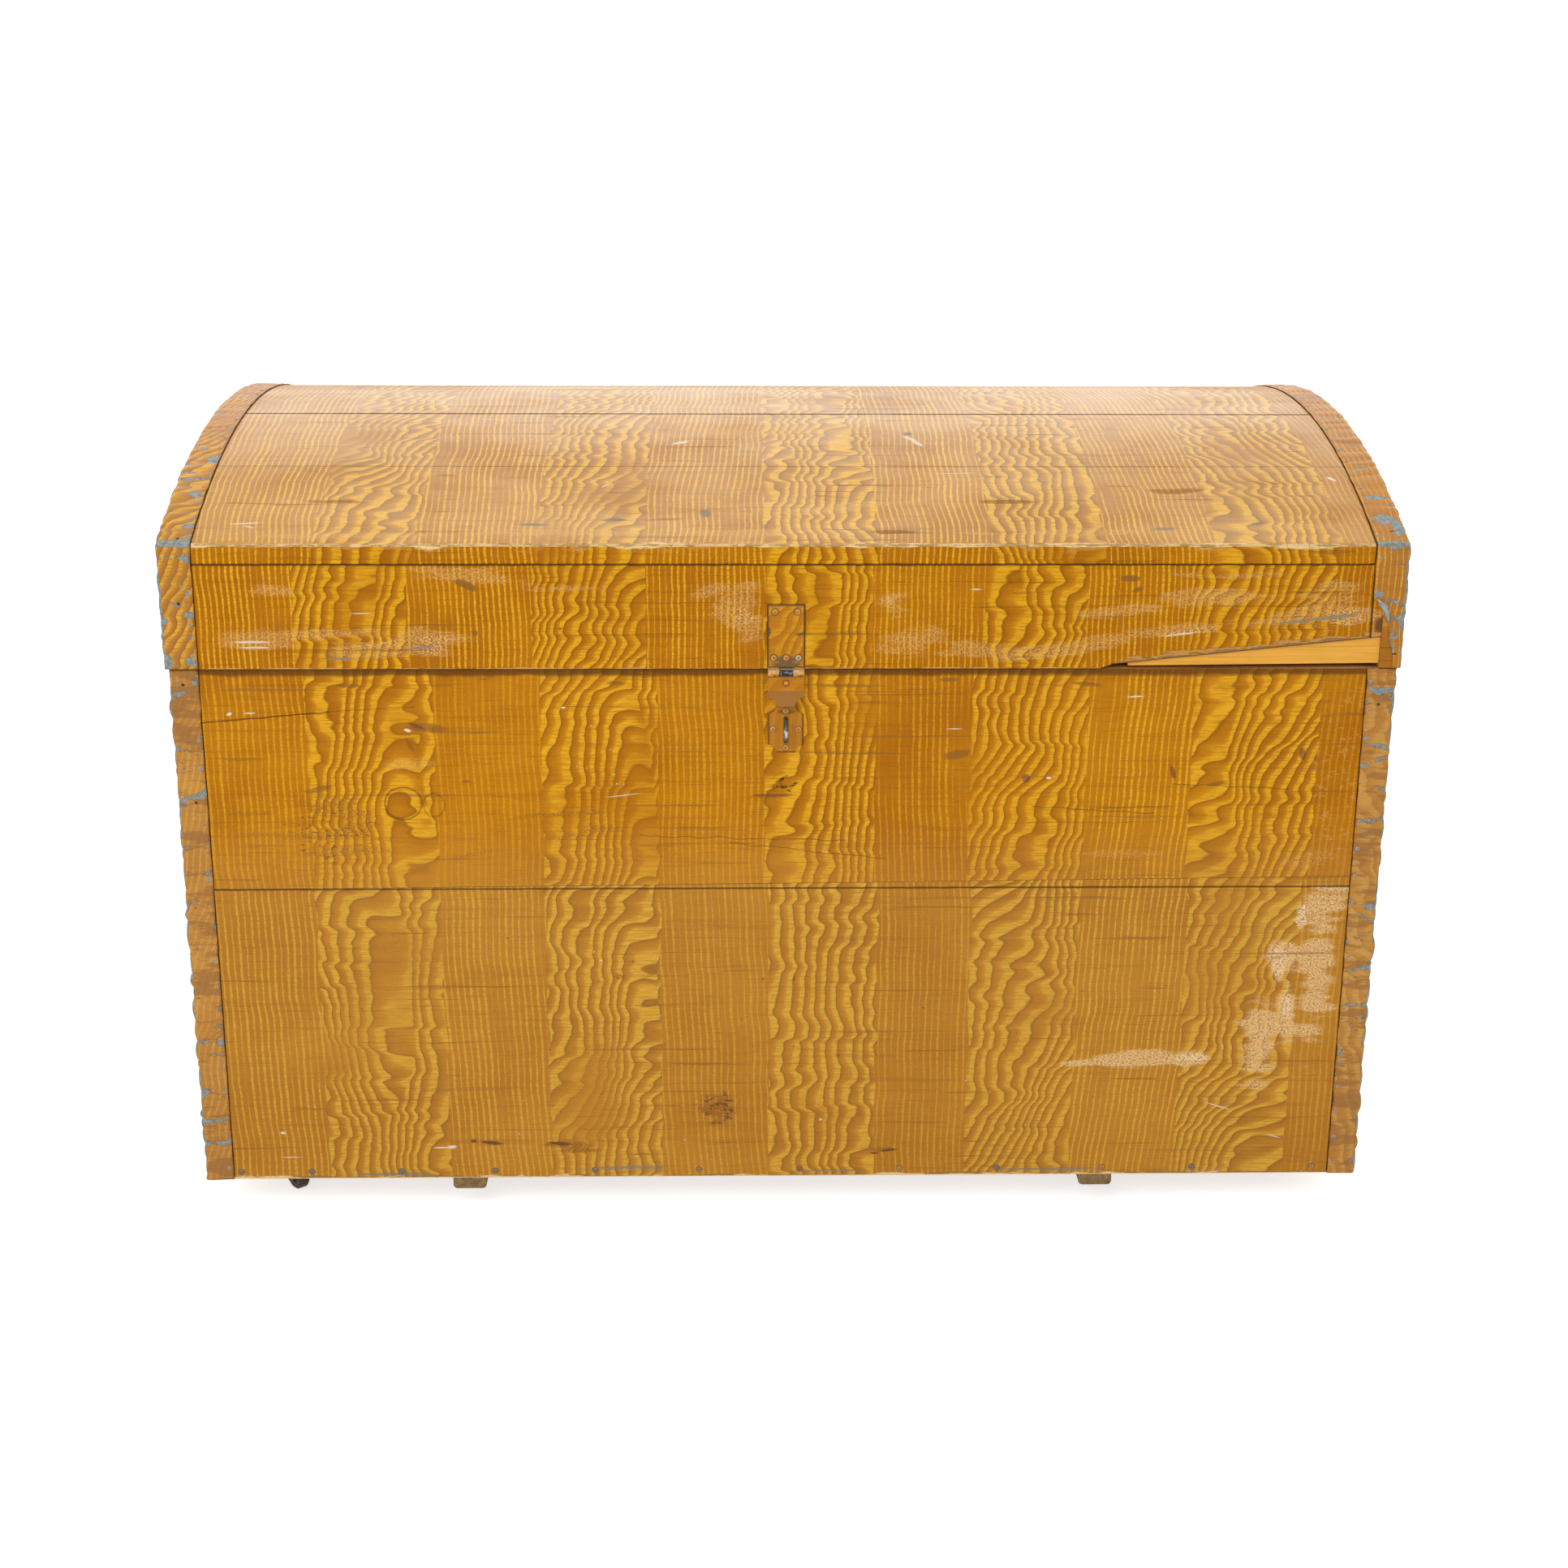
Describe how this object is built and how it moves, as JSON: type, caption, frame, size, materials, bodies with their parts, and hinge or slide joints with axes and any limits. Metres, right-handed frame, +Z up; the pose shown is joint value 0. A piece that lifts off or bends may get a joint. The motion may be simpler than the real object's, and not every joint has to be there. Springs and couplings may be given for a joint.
{
  "type": "dome top trunk",
  "caption": "Dome top trunk of grain-painted boards with nailed metal straps, a hinged lid, a hasp and staple, swinging end handles, runners and swivelling casters.",
  "frame": {"origin": "middle of the floor area under the trunk's overall box, on the floor that the casters stand on", "axes": "+X to the trunk's right end as seen from the front, +Y to the back, +Z up"},
  "size_m": [1.103, 0.7412, 0.7096],
  "materials": {
    "grained_wood": "painted and combed to imitate wood grain",
    "bare_wood": "bare, weathered",
    "strap_metal": "painted, worn to grey metal",
    "nail_heads": "painted, worn",
    "screw_steel": "dull",
    "hasp_metal": "painted, worn",
    "dark_iron": "dark, dull",
    "caster_iron": "dark, dull",
    "wheel_wood": "dark turned wood"
  },
  "bodies": {
    "case": {"left_end_lower_board": "grained_wood", "left_end_upper_board": "grained_wood", "right_end_lower_board": "grained_wood", "right_end_upper_board": "grained_wood", "front_lower_board": "grained_wood", "front_upper_board": "grained_wood", "back_lower_board": "grained_wood", "back_upper_board": "grained_wood", "floor_board_front": "bare_wood", "floor_board_middle": "bare_wood", "floor_board_back": "bare_wood", "front_left_corner_strap": "strap_metal", "front_right_corner_strap": "strap_metal", "back_left_corner_strap": "strap_metal", "back_right_corner_strap": "strap_metal", "left_runner": "bare_wood", "right_runner": "bare_wood", "keeper_plate": "hasp_metal", "staple": "dark_iron", "keeper_rivets": "hasp_metal", "hinge_case_leaves": "dark_iron", "hinge_pins": "screw_steel", "hinge_case_screws": "screw_steel", "handle_brackets": "dark_iron", "handle_screws": "screw_steel", "caster_plates": "caster_iron", "caster_screws": "screw_steel", "left_corner_nails": "nail_heads", "right_corner_nails": "nail_heads", "board_nails": "nail_heads"},
    "lid": {"lid_left_end_board": "grained_wood", "lid_right_end_board": "grained_wood", "lid_front_board": "grained_wood", "lid_back_board": "grained_wood", "repair_wedge": "bare_wood", "dome_plank_front": "grained_wood", "dome_plank_front_inner": "grained_wood", "dome_plank_top": "grained_wood", "dome_plank_back_inner": "grained_wood", "dome_plank_back": "grained_wood", "lid_left_strap": "strap_metal", "lid_right_strap": "strap_metal", "lid_strap_nails": "nail_heads", "hasp_plate": "hasp_metal", "hasp_pin": "screw_steel", "hasp_rivets": "hasp_metal", "hinge_lid_leaves": "dark_iron", "hinge_lid_screws": "screw_steel"},
    "hasp": {"hasp_leaf": "hasp_metal"},
    "left_bail": {"left_handle": "dark_iron"},
    "right_bail": {"right_handle": "dark_iron"},
    "front_left_fork": {"front_left_caster_fork": "caster_iron"},
    "front_left_wheel": {"front_left_caster_wheel": "wheel_wood"},
    "front_right_fork": {"front_right_caster_fork": "caster_iron"},
    "front_right_wheel": {"front_right_caster_wheel": "wheel_wood"},
    "back_left_fork": {"back_left_caster_fork": "caster_iron"},
    "back_left_wheel": {"back_left_caster_wheel": "wheel_wood"},
    "back_right_fork": {"back_right_caster_fork": "caster_iron"},
    "back_right_wheel": {"back_right_caster_wheel": "wheel_wood"}
  },
  "joints": [
    {"name": "lid_hinge", "type": "hinge", "parent": "case", "child": "lid", "pos_m": [0, 0.36715, 0.5251], "axis": [-1, 0, 0], "range_deg": [0, 105]},
    {"name": "hasp_hinge", "type": "hinge", "parent": "lid", "child": "hasp", "pos_m": [0, -0.35935, 0.5227], "axis": [-1, 0, 0], "range_deg": [0, 150]},
    {"name": "left_handle_pivot", "type": "hinge", "parent": "case", "child": "left_bail", "pos_m": [-0.5455, 0.00485, 0.363], "axis": [0, 1, 0], "range_deg": [0, 95]},
    {"name": "right_handle_pivot", "type": "hinge", "parent": "case", "child": "right_bail", "pos_m": [0.5455, 0.00485, 0.363], "axis": [0, -1, 0], "range_deg": [0, 95]},
    {"name": "front_left_swivel", "type": "hinge", "parent": "case", "child": "front_left_fork", "pos_m": [-0.47, -0.29565, 0.0306], "axis": [0, 0, 1], "continuous": true},
    {"name": "front_left_wheel_spin", "type": "hinge", "parent": "front_left_fork", "child": "front_left_wheel", "pos_m": [-0.46164, -0.30561, 0.0125], "axis": [0.766, 0.6428, 0], "continuous": true},
    {"name": "front_right_swivel", "type": "hinge", "parent": "case", "child": "front_right_fork", "pos_m": [0.47, -0.29565, 0.0306], "axis": [0, 0, 1], "continuous": true},
    {"name": "front_right_wheel_spin", "type": "hinge", "parent": "front_right_fork", "child": "front_right_wheel", "pos_m": [0.47402, -0.28329, 0.0125], "axis": [-0.9511, 0.309, 0], "continuous": true},
    {"name": "back_left_swivel", "type": "hinge", "parent": "case", "child": "back_left_fork", "pos_m": [-0.47, 0.30535, 0.0306], "axis": [0, 0, 1], "continuous": true},
    {"name": "back_left_wheel_spin", "type": "hinge", "parent": "back_left_fork", "child": "back_left_wheel", "pos_m": [-0.47549, 0.31713, 0.0125], "axis": [-0.9063, -0.4226, 0], "continuous": true},
    {"name": "back_right_swivel", "type": "hinge", "parent": "case", "child": "back_right_fork", "pos_m": [0.47, 0.30535, 0.0306], "axis": [0, 0, 1], "continuous": true},
    {"name": "back_right_wheel_spin", "type": "hinge", "parent": "back_right_fork", "child": "back_right_wheel", "pos_m": [0.48148, 0.31145, 0.0125], "axis": [-0.4695, 0.8829, 0], "continuous": true}
  ]
}
